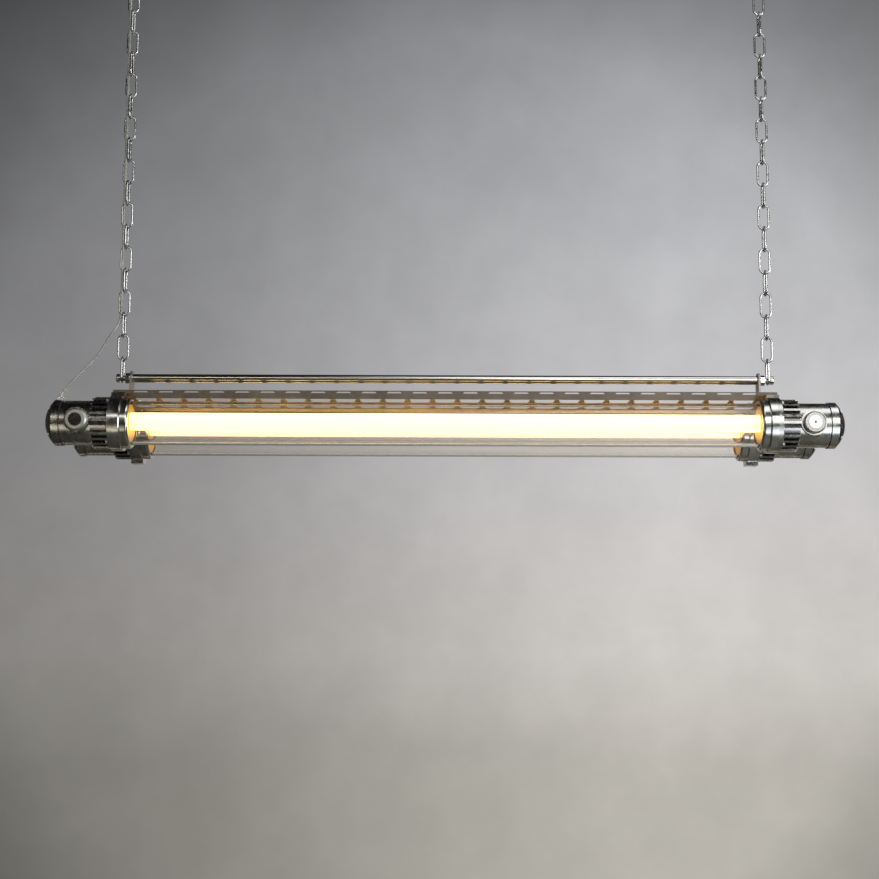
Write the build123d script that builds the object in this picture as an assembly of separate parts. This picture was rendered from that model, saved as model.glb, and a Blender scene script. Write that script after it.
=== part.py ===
from build123d import *
import math
import os

# Linear pendant light: two glazed tube units under a folded carrier, on a rod, two chains and two cups.
# Millimetres, +Z up, X along the lamp, -Y to the front. The origin is on the ceiling, between the cups.

# Layout
UNIT_SPACING = 180.0
ROD_ABOVE_AXES = 97.4
LAMP_RISE = 3.0
TOUCH_GAP = 0.3

# Lengths along X, from the lamp's end outwards
LAMP_HALF = 600.0
LAMP_PAST_CLAMP = 2.5
BEZEL_LENGTH = 14.5
RING_B_THICK = 13.5
RING_A_THICK = 9.5
FIN_LENGTH = 31.0
DRUM_LENGTH = 55.5
GASKET_THICK = 1.5
COVER_RIM = 13.0
COVER_DOME = 18.5

# Castings
RING_R = 51.0
BEZEL_R = 47.0
BEZEL_ROUND = 5.0
BODY_R = 40.5
BODY_BORE_R = 36.0
FIN_R = 47.5
FIN_COUNT = 24
FIN_THICK = 4.5
FIN_SUNK = 1.0
RING_EDGE = 1.2
WEB_BACK = 11.0
WEB_THICK = 4.0
LUG_TOP = 55.0
LUG_WIDTH = 25.0
FOOT_LUG_DROP = 56.5
COVER_R = 42.3
COVER_RECESS_R = 26.0
COVER_RECESS_DEEP = 11.0

# Blanking plugs
PLUG_BACK = 23.0
PLUG_R = 20.0
PLUG_BOSS_R = 23.0
PLUG_BOSS_TO = 45.0
PLUG_HEAD = 9.0
PLUG_BEVEL = 2.5
PLUG_DISC_R = 12.0
PLUG_DISC_THICK = 1.0
PLUG_HOLE_R = 2.0
PLUG_SHANK_R = 15.0
PLUG_SHANK = 8.0

# Glass and seals
GLASS_R = 40.0
GLASS_WALL = 4.0
GLASS_FIT = 0.6
SEAL_R = 43.5
SEAL_LEDGE = 2.0
GLASS_END_GAP = 0.5

# Lamps, collars and lampholders
LAMP_R = 16.0
LAMP_WALL = 1.0
CAP_LENGTH = 18.0
PIN_R = 1.2
PIN_HALF_SPACING = 6.35
PIN_LENGTH = 7.0
COLLAR_BACK = 1.5
COLLAR_DISC = 2.5
COLLAR_R = 34.5
COLLAR_WALL = 1.5
COLLAR_HOLE_R = 18.0
COLLAR_FLANGE_R = 43.0
COLLAR_FLANGE_THICK = 2.0
HOLDER_R = 17.0
HOLDER_GAP = 0.4
ROTOR_R = 11.0
ROTOR_THICK = 7.2

# Screws
FLANGE_BOLT_RING_R = 47.3
FLANGE_BOLT_R = 2.0
FLANGE_HEAD_R = 3.4
FLANGE_HEAD = 3.5
FLANGE_BOLT_DEEP = 8.0
FLANGE_BOLT_ANGLES = (52.5, 127.5, 232.5, 307.5)
COVER_SCREW_RING_R = 33.0
COVER_SCREW_R = 2.0
COVER_SCREW_DEEP = 12.0
COVER_BOSS_R = 5.0
COVER_BOSS_DEEP = 16.0
COVER_HEAD_R = 3.5
COVER_HEAD = 4.0
HEAD_POCKET_GAP = 0.4
COVER_SCREW_ANGLES = (45.0, 135.0, 225.0, 315.0)
HOLE_GAP = 0.2

# Carrier tray
TRAY_SHEET = 2.0
TRAY_LIP_TOP = 61.5
TRAY_WING_FROM = 43.0
TRAY_FLOOR_HALF = 22.0
TRAY_FLOOR_Z = 45.0
TRAY_PITCH = 46.4
TRAY_END_PLAIN = 30.0
LIP_OVER_GLASS = 6.0
LIP_END_GAP = 3.5
LIP_SLOT = 30.0
LIP_SLOT_TALL = 3.7
LIP_RAIL = 1.8
LIP_SLOT_TAPER = 4.0
WINDOW_TOP = 38.0
WINDOW_LOW = 28.0
WINDOW_EDGE = 2.5
TRAY_SCREW_IN = 7.5
TRAY_SCREW_R = 2.5
TRAY_SCREW_DEEP = 7.0
TRAY_HEAD_R = 4.5
TRAY_HEAD = 2.8

# Posts and rod
POST_INSET = 16.0
POST_THICK = 3.5
POST_WIDTH = 27.0
POST_FOOT = 30.0
POST_BOLT_R = 2.5
POST_BOLT_Y = 7.5
POST_HEAD_R = 4.5
POST_HEAD = 3.0
POST_NUT = 4.0
POST_NUT_R = 4.5
SPREADER_R = 8.0
ROD_R = 5.0
ROD_FIT = 0.15
WASHER_R = 10.0
WASHER_THICK = 2.0
NUT_THICK = 8.0
NUT_FLAT_R = 8.5
END_CAP_ROOM = 4.0
END_CAP_THICK = 7.0
END_CAP_R = 8.0
END_CAP_ROUND = 2.0
ROD_IN_CAP = 4.0

# Chains
LINK_ROOM = 6.5
WIRE_R = 2.0
LINK_INSIDE = 43.3
LINK_WIDTH = 23.0
LINK_COUNT = 19
BOTTOM_LINKS = 3

# Ceiling cups
CUP_R = 45.0
CUP_DEEP = 28.0
CUP_WALL = 2.0
CUP_ROUND = 4.0
SCREW_Y = 30.0
SCREW_R = 2.2
SCREW_BOSS_R = 5.0
EYE_R = 9.0
EYE_WIRE_R = 3.0
EYE_DROP = 51.3
EYE_ARC = 300.0
EYE_NUT = 5.0
EYE_NUT_R = 5.0

# Cord, gland, grip and wiring
CORD_R = 2.5
GLAND_BACK = 6.5
GLAND_R = 6.5
GLAND_TALL = 6.0
GLAND_SHANK_R = 4.5
GLAND_SHANK = 12.0
GLAND_SEAT = 2.0
SHANK_BELOW = 1.0
BOOT_TALL = 20.0
BOOT_R = 4.8
BOOT_TOP_R = 3.4
BOOT_SUNK = 3.0
BOOT_LEAN = (0.36, 0.46, 0.81)
GRIP_R = 5.5
GRIP_TALL = 10.0
GRIP_OUT = 9.0
GRIP_Y = -12.0
CUP_BLOCK_IN = 12.0
CORD_SIDE = 5.0
CORD_MEETS = 126.0
CORD_LEAD = 18.0
CORD_TOP_LEAD = 14.0
CORD_FIRST_RUN = 10.0
CORD_MIDDLE = 430.0
CORD_LEAVES = 776.0
CORD_ROUTE = (
    (-684.0, -63.0, 86.0),
    (-666.0, -45.0, 112.0),
    (-650.0, -28.0, 137.0),
    (-642.0, -20.0, 158.0),
    (-632.0, -11.0, 179.0),
)
CONDUIT_R = 10.0
CONDUIT_WALL = 2.0
CONDUIT_IN = 34.0
LOCKNUT_R = 14.0
LOCKNUT_THICK = 5.0
TERMINAL_LENGTH = 26.0
TERMINAL_WIDTH = 16.0
TERMINAL_TALL = 12.0
TERMINAL_BACK = 4.0
LEAD_R = 1.2
LEAD_Y = 5.0
LEAD_TAIL = 8.0
LEAD_RISE = 12.0
LEAD_TURN = 6.0
LEAD_IN = 9.0

# Places that follow from the sizes above
LINK_PITCH = LINK_INSIDE - TOUCH_GAP
TOP_LINK_Z = -EYE_DROP + EYE_WIRE_R + TOUCH_GAP - LINK_INSIDE / 2
BOTTOM_LINK_Z = TOP_LINK_Z - (LINK_COUNT - 1) * LINK_PITCH
ROD_Z = BOTTOM_LINK_Z - LINK_INSIDE / 2 + TOUCH_GAP + ROD_R
AXES_Z = ROD_Z - ROD_ABOVE_AXES
RING_A_FROM = LAMP_HALF - LAMP_PAST_CLAMP
RING_B_FROM = RING_A_FROM - RING_B_THICK
BEZEL_FROM = RING_B_FROM - BEZEL_LENGTH
RING_A_TO = RING_A_FROM + RING_A_THICK
FIN_TO = RING_A_TO + FIN_LENGTH
BODY_TO = FIN_TO + DRUM_LENGTH
COVER_FROM = BODY_TO + GASKET_THICK
RIM_TO = COVER_FROM + COVER_RIM
COVER_TO = RIM_TO + COVER_DOME
GLASS_BORE_R = GLASS_R - GLASS_WALL
SEAL_FROM = RING_B_FROM + SEAL_LEDGE
SEAL_TO = RING_A_FROM - COLLAR_FLANGE_THICK
GLASS_HALF = SEAL_TO - GLASS_END_GAP
WEB_FROM = RING_A_TO + WEB_BACK
WEB_TO = WEB_FROM + WEB_THICK
PLUG_X = FIN_TO + PLUG_BACK
COLLAR_FROM = BEZEL_FROM + COLLAR_BACK
HOLDER_FROM = LAMP_HALF + HOLDER_GAP
TRAY_HALF_LENGTH = RING_A_TO
TRAY_HALF_WIDTH = UNIT_SPACING / 2
TRAY_SCREW_X = (RING_B_FROM + RING_A_FROM) / 2
TRAY_OPENINGS = 2 * int((TRAY_HALF_LENGTH - TRAY_END_PLAIN - WINDOW_TOP / 2) / TRAY_PITCH) + 1
LIP_LOW = GLASS_R + LIP_OVER_GLASS
POST_X = TRAY_HALF_LENGTH - POST_INSET
POST_OUT = POST_X + POST_THICK
CHAIN_X = POST_OUT + WASHER_THICK + NUT_THICK + LINK_ROOM
END_CAP_FROM = CHAIN_X + END_CAP_ROOM
GLAND_X = COVER_FROM + GLAND_BACK
GRIP_X = -CHAIN_X - GRIP_OUT
TERMINAL_X = FIN_TO + TERMINAL_BACK
FLOOR_TOP = TRAY_FLOOR_Z + TRAY_SHEET
UNITS = {"front": -1, "rear": 1}
ENDS = {"left": -1, "right": 1}


def along_x(x_from, x_to, radius, y=0.0, z=0.0):
    """Round bar along X."""
    return Pos((x_from + x_to) / 2, y, z) * Rot(0, 90, 0) * Cylinder(radius, x_to - x_from)


def along_y(y_from, y_to, radius, x=0.0, z=0.0):
    """Round bar along Y."""
    return Pos(x, (y_from + y_to) / 2, z) * Rot(90, 0, 0) * Cylinder(radius, abs(y_to - y_from))


def along_z(z_from, z_to, radius, x=0.0, y=0.0):
    """Round bar along Z."""
    return Pos(x, y, (z_from + z_to) / 2) * Cylinder(radius, z_to - z_from)


def block(x_from, x_to, y_from, y_to, z_from, z_to):
    """Box between two corners."""
    middle = Pos((x_from + x_to) / 2, (y_from + y_to) / 2, (z_from + z_to) / 2)
    return middle * Box(x_to - x_from, y_to - y_from, z_to - z_from)


def on_circle(radius, angle):
    """Point at an angle on a circle about the X axis, as (y, z)."""
    return radius * math.cos(math.radians(angle)), radius * math.sin(math.radians(angle))


def end_edge(solid, x):
    """Widest circular edge of a turned piece at a station."""
    rims = [e for e in solid.edges().filter_by(GeomType.CIRCLE) if abs(e.center().X - x) < 0.01]
    return max(rims, key=lambda e: e.radius)


def placed(solid, end, unit):
    """Piece drawn on the right end of a unit at the origin, moved to its own end and unit."""
    turned = mirror(solid, Plane.YZ) if end < 0 else solid
    return Pos(0, unit * UNIT_SPACING / 2, AXES_Z) * turned


def everywhere(make):
    """The same piece at all four ends."""
    return [placed(make, end, unit) for unit in UNITS.values() for end in ENDS.values()]


def save(name, pieces):
    """Writes one node, a single piece or a group of like pieces."""
    solids = []
    for piece in pieces if isinstance(pieces, list) else [pieces]:
        solids.extend(piece.solids())
    shape = solids[0] if len(solids) == 1 else Compound(children=solids)
    export_step(shape, "parts/" + name + ".step")


def make_housing(unit, conduit):
    """Flange ring, fins, drum, lugs and plug boss in one casting."""
    flange = along_x(RING_A_FROM, RING_A_TO, RING_R)
    flange = chamfer(end_edge(flange, RING_A_TO), RING_EDGE)
    fin = block(RING_A_TO - RING_EDGE, FIN_TO, -FIN_THICK / 2, FIN_THICK / 2, BODY_R - FIN_SUNK, FIN_R)
    fins = [Rot(360 / FIN_COUNT * k, 0, 0) * fin for k in range(FIN_COUNT)]
    lug = block(RING_A_FROM, RING_A_TO, -LUG_WIDTH / 2, LUG_WIDTH / 2, BODY_R, LUG_TOP)
    boss = along_y(0, unit * PLUG_BOSS_TO, PLUG_BOSS_R, PLUG_X)
    casting = along_x(RING_A_FROM, BODY_TO, BODY_R) + flange + fins + lug + boss
    if unit > 0:
        casting += block(RING_A_FROM, RING_A_TO, -LUG_WIDTH / 2, LUG_WIDTH / 2, -FOOT_LUG_DROP, -BODY_R)
    casting -= along_x(RING_A_FROM, WEB_FROM, BODY_BORE_R)
    casting -= along_x(WEB_TO, BODY_TO, BODY_BORE_R)
    casting -= along_y(0, unit * PLUG_BOSS_TO, PLUG_SHANK_R, PLUG_X)
    if conduit:
        casting -= along_y(0, -unit * PLUG_BOSS_TO, CONDUIT_R, PLUG_X)
    inside = along_x(WEB_TO, BODY_TO, (BODY_R + BODY_BORE_R) / 2)
    for angle in COVER_SCREW_ANGLES:
        y, z = on_circle(COVER_SCREW_RING_R, angle)
        casting += along_x(BODY_TO - COVER_BOSS_DEEP, BODY_TO, COVER_BOSS_R, y, z) & inside
        casting -= along_x(BODY_TO - COVER_SCREW_DEEP, BODY_TO, COVER_SCREW_R, y, z)
    for angle in FLANGE_BOLT_ANGLES:
        y, z = on_circle(FLANGE_BOLT_RING_R, angle)
        casting -= along_x(RING_A_FROM, RING_A_TO, FLANGE_BOLT_R + HOLE_GAP, y, z)
    for side in (-1, 1):
        casting -= along_x(WEB_FROM, WEB_TO, LEAD_R + HOLE_GAP, side * LEAD_Y, LAMP_RISE)
    return casting


def make_clamp_ring(unit):
    """Ring and bezel that clamp the glass seal, with half of the lugs."""
    bezel = along_x(BEZEL_FROM, RING_B_FROM + RING_EDGE, BEZEL_R)
    bezel = fillet(end_edge(bezel, BEZEL_FROM), BEZEL_ROUND)
    ring = along_x(RING_B_FROM, RING_A_FROM, RING_R)
    ring = chamfer(end_edge(ring, RING_B_FROM), RING_EDGE)
    ring += block(RING_B_FROM, RING_A_FROM, -LUG_WIDTH / 2, LUG_WIDTH / 2, SEAL_R, LUG_TOP)
    if unit > 0:
        ring += block(RING_B_FROM, RING_A_FROM, -LUG_WIDTH / 2, LUG_WIDTH / 2, -FOOT_LUG_DROP, -SEAL_R)
    ring = ring + bezel
    ring -= along_x(BEZEL_FROM, RING_A_FROM, GLASS_R + GLASS_FIT)
    ring -= along_x(SEAL_FROM, RING_A_FROM, SEAL_R)
    for angle in FLANGE_BOLT_ANGLES:
        y, z = on_circle(FLANGE_BOLT_RING_R, angle)
        ring -= along_x(RING_A_FROM - FLANGE_BOLT_DEEP, RING_A_FROM, FLANGE_BOLT_R, y, z)
    ring -= along_z(LUG_TOP - TRAY_SCREW_DEEP, LUG_TOP, TRAY_SCREW_R, TRAY_SCREW_X, -unit * TRAY_SCREW_IN)
    return ring


def make_end_cover(gland):
    """Domed cover, turned about X, with a hollow back and four screw pockets."""
    dome_r = (COVER_R ** 2 + COVER_DOME ** 2) / (2 * COVER_DOME)
    half_angle = math.asin(COVER_R / dome_r) / 2
    middle = (COVER_TO - dome_r + dome_r * math.cos(half_angle), dome_r * math.sin(half_angle))
    rim = Polyline((COVER_TO, 0), (COVER_FROM, 0), (COVER_FROM, COVER_R), (RIM_TO, COVER_R))
    dome = ThreePointArc((RIM_TO, COVER_R), middle, (COVER_TO, 0))
    cover = revolve(make_face([*rim.edges(), *dome.edges()]), Axis.X)
    cover -= along_x(COVER_FROM, COVER_FROM + COVER_RECESS_DEEP, COVER_RECESS_R)
    for angle in COVER_SCREW_ANGLES:
        y, z = on_circle(COVER_SCREW_RING_R, angle)
        cover -= along_x(COVER_FROM, COVER_TO, COVER_SCREW_R + HOLE_GAP, y, z)
        cover -= along_x(RIM_TO, COVER_TO, COVER_HEAD_R + HEAD_POCKET_GAP, y, z)
    if gland:
        shank_hole = along_z(0, COVER_R, GLAND_SHANK_R, GLAND_X)
        cover -= shank_hole & along_x(GLAND_X - GLAND_R, GLAND_X + GLAND_R, COVER_R)
    return cover


def make_plug(unit):
    """Round blanking plug with a bevelled rim, a raised disc and a centre hole."""
    head_to = PLUG_BOSS_TO + PLUG_HEAD
    head = along_y(unit * PLUG_BOSS_TO, unit * head_to, PLUG_R, PLUG_X)
    outer = [e for e in head.edges().filter_by(GeomType.CIRCLE) if abs(e.center().Y - unit * head_to) < 0.01]
    head = chamfer(outer, PLUG_BEVEL)
    plug = head + along_y(unit * head_to, unit * (head_to + PLUG_DISC_THICK), PLUG_DISC_R, PLUG_X)
    plug += along_y(unit * (PLUG_BOSS_TO - PLUG_SHANK), unit * PLUG_BOSS_TO, PLUG_SHANK_R, PLUG_X)
    return plug - along_y(unit * PLUG_BOSS_TO, unit * (head_to + PLUG_DISC_THICK), PLUG_HOLE_R, PLUG_X)


def make_collar():
    """Spun collar seen inside the glass mouth: a disc round the lamp, a sleeve and a seat flange."""
    collar = along_x(COLLAR_FROM, RING_A_FROM, COLLAR_R)
    collar -= along_x(COLLAR_FROM + COLLAR_DISC, RING_A_FROM, COLLAR_R - COLLAR_WALL)
    collar -= along_x(COLLAR_FROM, COLLAR_FROM + COLLAR_DISC, COLLAR_HOLE_R, 0, LAMP_RISE)
    flange = along_x(SEAL_TO, RING_A_FROM, COLLAR_FLANGE_R) - along_x(SEAL_TO, RING_A_FROM, COLLAR_R)
    return collar + flange


def make_holder():
    """Lampholder cup on the housing's web."""
    cup = along_x(HOLDER_FROM, WEB_FROM, HOLDER_R, 0, LAMP_RISE)
    pocket_to = HOLDER_FROM + ROTOR_THICK + TOUCH_GAP
    return cup - along_x(HOLDER_FROM, pocket_to, ROTOR_R + TOUCH_GAP, 0, LAMP_RISE)


def make_rotor():
    """Turning disc of the lampholder with two pin holes."""
    rotor = along_x(HOLDER_FROM, HOLDER_FROM + ROTOR_THICK, ROTOR_R, 0, LAMP_RISE)
    for side in (-1, 1):
        z = LAMP_RISE + side * PIN_HALF_SPACING
        rotor -= along_x(HOLDER_FROM, LAMP_HALF + PIN_LENGTH, PIN_R, 0, z)
    return rotor


def make_lamp_end():
    """Lamp cap and its two pins, each a piece."""
    cap = along_x(LAMP_HALF - CAP_LENGTH, LAMP_HALF, LAMP_R, 0, LAMP_RISE)
    pieces = [cap]
    for side in (-1, 1):
        z = LAMP_RISE + side * PIN_HALF_SPACING
        pieces.append(along_x(LAMP_HALF, LAMP_HALF + PIN_LENGTH, PIN_R, 0, z))
    return pieces


def make_flange_bolts():
    """Bolts through the flange ring into the clamp ring, heads between the fins."""
    bolts = []
    for angle in FLANGE_BOLT_ANGLES:
        y, z = on_circle(FLANGE_BOLT_RING_R, angle)
        shank = along_x(RING_A_FROM - FLANGE_BOLT_DEEP, RING_A_TO, FLANGE_BOLT_R, y, z)
        bolts.append(shank + along_x(RING_A_TO, RING_A_TO + FLANGE_HEAD, FLANGE_HEAD_R, y, z))
    return bolts


def make_cover_screws():
    """Cap screws that hold an end cover."""
    screws = []
    for angle in COVER_SCREW_ANGLES:
        y, z = on_circle(COVER_SCREW_RING_R, angle)
        shank = along_x(BODY_TO - COVER_SCREW_DEEP, RIM_TO, COVER_SCREW_R, y, z)
        screws.append(shank + along_x(RIM_TO, RIM_TO + COVER_HEAD, COVER_HEAD_R, y, z))
    return screws


def make_cover_gasket():
    """Flat ring between the drum and its cover, round the screw bosses."""
    gasket = along_x(BODY_TO, COVER_FROM, BODY_R) - along_x(BODY_TO, COVER_FROM, COVER_RECESS_R)
    for angle in COVER_SCREW_ANGLES:
        y, z = on_circle(COVER_SCREW_RING_R, angle)
        gasket -= along_x(BODY_TO, COVER_FROM, COVER_SCREW_R + HOLE_GAP, y, z)
    return gasket


def make_tray():
    """Folded carrier: slotted lips turned down between the rings, flat wings and a windowed groove."""
    lip_in = TRAY_HALF_WIDTH - TRAY_SHEET
    wing_top = LUG_TOP + TRAY_SHEET
    slope = math.atan2(LUG_TOP - TRAY_FLOOR_Z, TRAY_WING_FROM - TRAY_FLOOR_HALF)
    shift = TRAY_SHEET * math.tan(slope / 2)
    under = [(TRAY_HALF_WIDTH, LUG_TOP), (TRAY_WING_FROM, LUG_TOP), (TRAY_FLOOR_HALF, TRAY_FLOOR_Z)]
    over = [(TRAY_FLOOR_HALF - shift, FLOOR_TOP), (TRAY_WING_FROM - shift, wing_top), (lip_in, wing_top)]
    right = [(TRAY_HALF_WIDTH, TRAY_LIP_TOP), *under]
    left = [(-y, z) for y, z in reversed(right)]
    inner_left = [(-y, z) for y, z in [(lip_in, TRAY_LIP_TOP), *reversed(over)]]
    inner_right = [*over, (lip_in, TRAY_LIP_TOP)]
    outline = right + left + inner_left + inner_right
    section = make_face(Polyline(*[(-TRAY_HALF_LENGTH, y, z) for y, z in outline], close=True))
    tray = extrude(section, amount=2 * TRAY_HALF_LENGTH, dir=(1, 0, 0))
    lip_to = BEZEL_FROM - LIP_END_GAP
    for side in (-1, 1):
        lip_y = sorted((side * lip_in, side * TRAY_HALF_WIDTH))
        tray += block(-lip_to, lip_to, *lip_y, LIP_LOW, wing_top)
    slot_top = TRAY_LIP_TOP - LIP_RAIL
    slot_low = slot_top - LIP_SLOT_TALL
    wide = LIP_SLOT / 2
    narrow = wide - LIP_SLOT_TAPER
    slot_line = [(-wide, slot_low), (wide, slot_low), (narrow, slot_top), (-narrow, slot_top)]
    slot = make_face(Polyline(*[(x, -TRAY_HALF_WIDTH, z) for x, z in slot_line], close=True))
    slot = extrude(slot, amount=TRAY_SHEET, dir=(0, 1, 0))
    low_y = TRAY_FLOOR_HALF + WINDOW_EDGE
    high_y = TRAY_WING_FROM - WINDOW_EDGE
    middle_y = (low_y + high_y) / 2
    half_line = [(WINDOW_LOW / 2, low_y), (WINDOW_TOP / 2, middle_y), (WINDOW_TOP / 2, high_y)]
    window_line = half_line + [(-x, y) for x, y in reversed(half_line)]
    window = make_face(Polyline(*[(x, y, TRAY_FLOOR_Z) for x, y in window_line], close=True))
    window = extrude(window, amount=wing_top - TRAY_FLOOR_Z, dir=(0, 0, 1))
    cuts = []
    for k in range(TRAY_OPENINGS):
        along = Pos((k - (TRAY_OPENINGS - 1) / 2) * TRAY_PITCH, 0, 0)
        for turn in (0, 180):
            cuts.append(Rot(0, 0, turn) * along * slot)
            cuts.append(Rot(0, 0, turn) * along * window)
    for x, y in tray_screw_places():
        cuts.append(along_z(LUG_TOP, wing_top, TRAY_SCREW_R + HOLE_GAP, x, y))
    for x, y in post_bolt_places():
        cuts.append(along_z(TRAY_FLOOR_Z, FLOOR_TOP, POST_BOLT_R + HOLE_GAP, x, y))
    return Pos(0, 0, AXES_Z) * (tray - cuts)


def tray_screw_places():
    """Where the tray is screwed to the lugs, as (x, y)."""
    y = UNIT_SPACING / 2 - TRAY_SCREW_IN
    return [(end * TRAY_SCREW_X, unit * y) for end in ENDS.values() for unit in UNITS.values()]


def post_bolt_places():
    """Where the post feet are bolted to the tray's floor, as (x, y)."""
    x = POST_X - POST_FOOT / 2
    return [(end * x, side * POST_BOLT_Y) for end in ENDS.values() for side in (-1, 1)]


def make_tray_screws():
    """Pan head screws through the tray's wings."""
    wing_top = LUG_TOP + TRAY_SHEET
    screws = []
    for x, y in tray_screw_places():
        shank = along_z(LUG_TOP - TRAY_SCREW_DEEP, wing_top, TRAY_SCREW_R, x, y)
        head = along_z(wing_top, wing_top + TRAY_HEAD, TRAY_HEAD_R, x, y)
        screws.append(Pos(0, 0, AXES_Z) * (shank + head))
    return screws


def make_post_bolts():
    """Bolts through the post feet, each with its nut under the tray's floor."""
    foot_top = FLOOR_TOP + POST_THICK
    pieces = []
    for x, y in post_bolt_places():
        shank = along_z(TRAY_FLOOR_Z - POST_NUT, foot_top, POST_BOLT_R, x, y)
        bolt = shank + along_z(foot_top, foot_top + POST_HEAD, POST_HEAD_R, x, y)
        nut = Pos(x, y, TRAY_FLOOR_Z - POST_NUT) * extrude(RegularPolygon(POST_NUT_R, 6), amount=POST_NUT)
        nut -= along_z(TRAY_FLOOR_Z - POST_NUT, TRAY_FLOOR_Z, POST_BOLT_R, x, y)
        pieces += [Pos(0, 0, AXES_Z) * bolt, Pos(0, 0, AXES_Z) * nut]
    return pieces


def make_post(end):
    """Strap post with a round top, a rod hole and a foot turned in along the tray."""
    half = POST_WIDTH / 2
    strap = block(POST_X, POST_OUT, -half, half, FLOOR_TOP, ROD_ABOVE_AXES)
    strap += along_x(POST_X, POST_OUT, half, 0, ROD_ABOVE_AXES)
    post = strap + block(POST_X - POST_FOOT, POST_OUT, -half, half, FLOOR_TOP, FLOOR_TOP + POST_THICK)
    post -= along_x(POST_X, POST_OUT, ROD_R + ROD_FIT, 0, ROD_ABOVE_AXES)
    for x, y in post_bolt_places():
        post -= along_z(FLOOR_TOP, FLOOR_TOP + POST_THICK, POST_BOLT_R + HOLE_GAP, abs(x), y)
    return Pos(0, 0, AXES_Z) * (mirror(post, Plane.YZ) if end < 0 else post)


def both_ends(piece):
    """A rod fitting drawn on the right, at both ends of the rod."""
    return [Pos(0, 0, ROD_Z) * piece, Pos(0, 0, ROD_Z) * mirror(piece, Plane.YZ)]


def make_rod_nut():
    """Hexagon nut outside a post."""
    nut_from = POST_OUT + WASHER_THICK
    hexagon = extrude(RegularPolygon(NUT_FLAT_R, 6, major_radius=False), amount=NUT_THICK)
    nut = Pos(nut_from, 0, 0) * Rot(0, 90, 0) * hexagon
    return nut - along_x(nut_from, nut_from + NUT_THICK, ROD_R)


def make_end_cap():
    """Blind round cap on the end of the rod."""
    cap_to = END_CAP_FROM + END_CAP_THICK
    cap = fillet(end_edge(along_x(END_CAP_FROM, cap_to, END_CAP_R), cap_to), END_CAP_ROUND)
    return cap - along_x(END_CAP_FROM, END_CAP_FROM + ROD_IN_CAP, ROD_R)


def make_link():
    """One long chain link, flat in the XZ plane."""
    bend = LINK_WIDTH / 2 - WIRE_R
    straight = LINK_INSIDE / 2 + WIRE_R - bend
    path = Wire([
        Line((bend, 0, -straight), (bend, 0, straight)),
        ThreePointArc((bend, 0, straight), (0, 0, straight + bend), (-bend, 0, straight)),
        Line((-bend, 0, straight), (-bend, 0, -straight)),
        ThreePointArc((-bend, 0, -straight), (0, 0, -straight - bend), (bend, 0, -straight)),
    ])
    return sweep(Plane(origin=(bend, 0, -straight), z_dir=(0, 0, 1)) * Circle(WIRE_R), path=path)


def make_chain(link, end, first, last):
    """Links of one chain, counted from the rod upwards and turned a quarter in turn."""
    links = []
    for k in range(first, last + 1):
        turn = 90 if k % 2 == 0 else 0
        links.append(Pos(end * CHAIN_X, 0, BOTTOM_LINK_Z + k * LINK_PITCH) * Rot(0, 0, turn) * link)
    return links


def make_cup(end):
    """Ceiling cup with two screw bosses and a hole for the eye, and on the left one for the cord grip."""
    cup = along_z(-CUP_DEEP, 0, CUP_R)
    rim = [e for e in cup.edges().filter_by(GeomType.CIRCLE) if abs(e.center().Z + CUP_DEEP) < 0.01]
    cup = fillet(rim, CUP_ROUND)
    cup -= along_z(-CUP_DEEP + CUP_WALL, 0, CUP_R - CUP_WALL - CUP_ROUND / 2)
    for side in (-1, 1):
        cup += along_z(-CUP_DEEP, 0, SCREW_BOSS_R, 0, side * SCREW_Y)
        cup -= along_z(-CUP_DEEP, 0, SCREW_R, 0, side * SCREW_Y)
    cup -= along_z(-CUP_DEEP, -CUP_DEEP + CUP_WALL, EYE_WIRE_R)
    cup = Pos(end * CHAIN_X, 0, 0) * cup
    if end < 0:
        cup -= along_z(-CUP_DEEP, -CUP_DEEP + CUP_WALL, GLAND_SHANK_R, GRIP_X, GRIP_Y)
    return cup


def make_eye(end):
    """Open eye under a cup, in the XZ plane."""
    ring_z = -EYE_DROP + EYE_R
    ring = Rot(90, 0, 0) * Rot(0, 0, 360 - EYE_ARC) * Torus(EYE_R, EYE_WIRE_R, major_angle=EYE_ARC)
    eye = Pos(0, 0, ring_z) * ring + along_z(ring_z + EYE_R, -CUP_DEEP + CUP_WALL + EYE_NUT, EYE_WIRE_R)
    return Pos(end * CHAIN_X, 0, 0) * eye


def make_eye_nut(end):
    """Nut on the eye's shank inside the cup."""
    low = -CUP_DEEP + CUP_WALL
    nut = Pos(0, 0, low) * extrude(RegularPolygon(EYE_NUT_R, 6, major_radius=False), amount=EYE_NUT)
    return Pos(end * CHAIN_X, 0, 0) * (nut - along_z(low, low + EYE_NUT, EYE_WIRE_R))


def make_gland():
    """Cord gland seated on top of the front left cover, with its tapered boot."""
    top = COVER_R + GLAND_TALL
    cover = along_x(COVER_FROM, RIM_TO, COVER_R)
    gland = along_z(COVER_R - GLAND_SEAT, top, GLAND_R, GLAND_X) - cover
    gland += along_z(COVER_R - GLAND_SHANK, COVER_R - SHANK_BELOW, GLAND_SHANK_R, GLAND_X) & cover
    lean = Plane(origin=(GLAND_X, 0, top), z_dir=(-BOOT_LEAN[0], BOOT_LEAN[1], BOOT_LEAN[2]))
    gland += lean * Pos(0, 0, (BOOT_TALL - BOOT_SUNK) / 2) * Cone(BOOT_R, BOOT_TOP_R, BOOT_TALL + BOOT_SUNK)
    return placed(gland, ENDS["left"], UNITS["front"])


def make_grip():
    """Cord grip under the left cup."""
    grip = along_z(-CUP_DEEP - GRIP_TALL, -CUP_DEEP, GRIP_R, GRIP_X, GRIP_Y)
    return grip + along_z(-CUP_DEEP, -CUP_DEEP + CUP_WALL, GLAND_SHANK_R, GRIP_X, GRIP_Y)


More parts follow.
